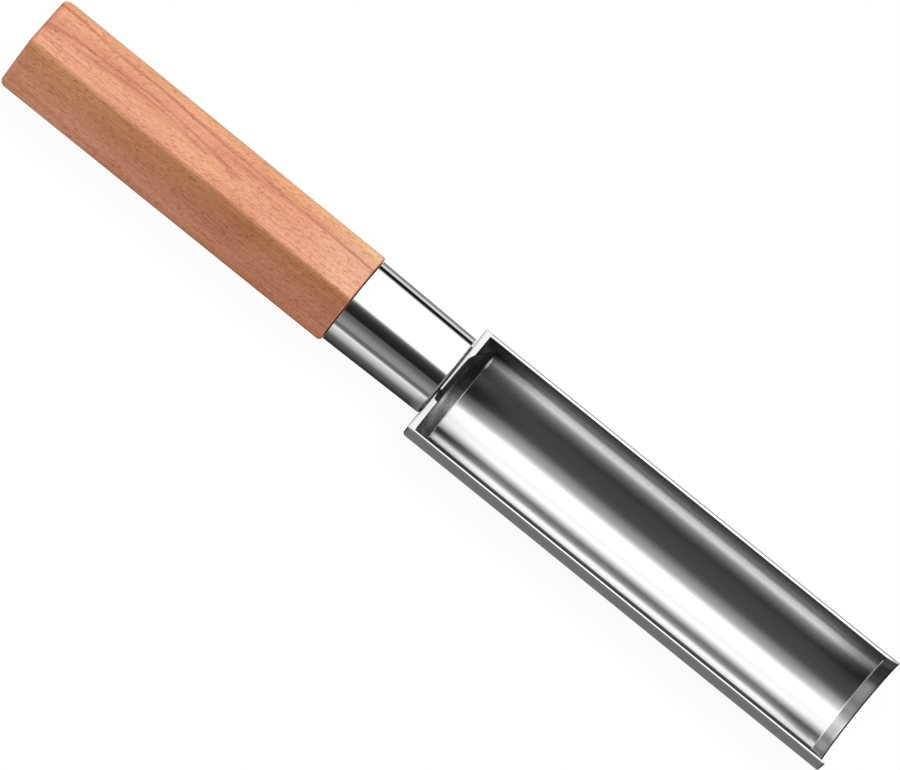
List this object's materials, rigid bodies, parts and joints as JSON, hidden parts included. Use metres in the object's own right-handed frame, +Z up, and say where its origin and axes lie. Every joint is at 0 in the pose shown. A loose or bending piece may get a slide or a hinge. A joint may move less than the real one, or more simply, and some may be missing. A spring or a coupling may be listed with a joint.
{
  "type": "meatball scoop",
  "caption": "Long half-round steel trough with a closed back and an open bevelled tip, on a polished tube neck and a six-sided wooden handle.",
  "frame": {"origin": "under the middle of the tool's length, on its centre plane, at the height of the trough's lowest line", "axes": "+X along the tool from the handle to the open tip of the trough, +Z up out of the trough's open top, +Y across it"},
  "size_m": [0.2806, 0.038, 0.0336],
  "materials": {
    "satin_steel": "satin inside and out, with fine lengthwise polishing marks",
    "polished_steel": "mirror polished",
    "plain_steel": "turned, unpolished",
    "dark_rubber": "matt",
    "brass": "turned",
    "beech": "sanded and oiled, satin"
  },
  "bodies": {
    "root": {"trough_shell": "satin_steel", "end_wall": "satin_steel", "neck_tube": "polished_steel", "neck_front_cap": "polished_steel", "neck_bulkhead": "plain_steel", "seal_washer": "dark_rubber", "tang_bolt": "plain_steel", "handle_insert": "brass", "handle_body": "beech"}
  },
  "joints": []
}
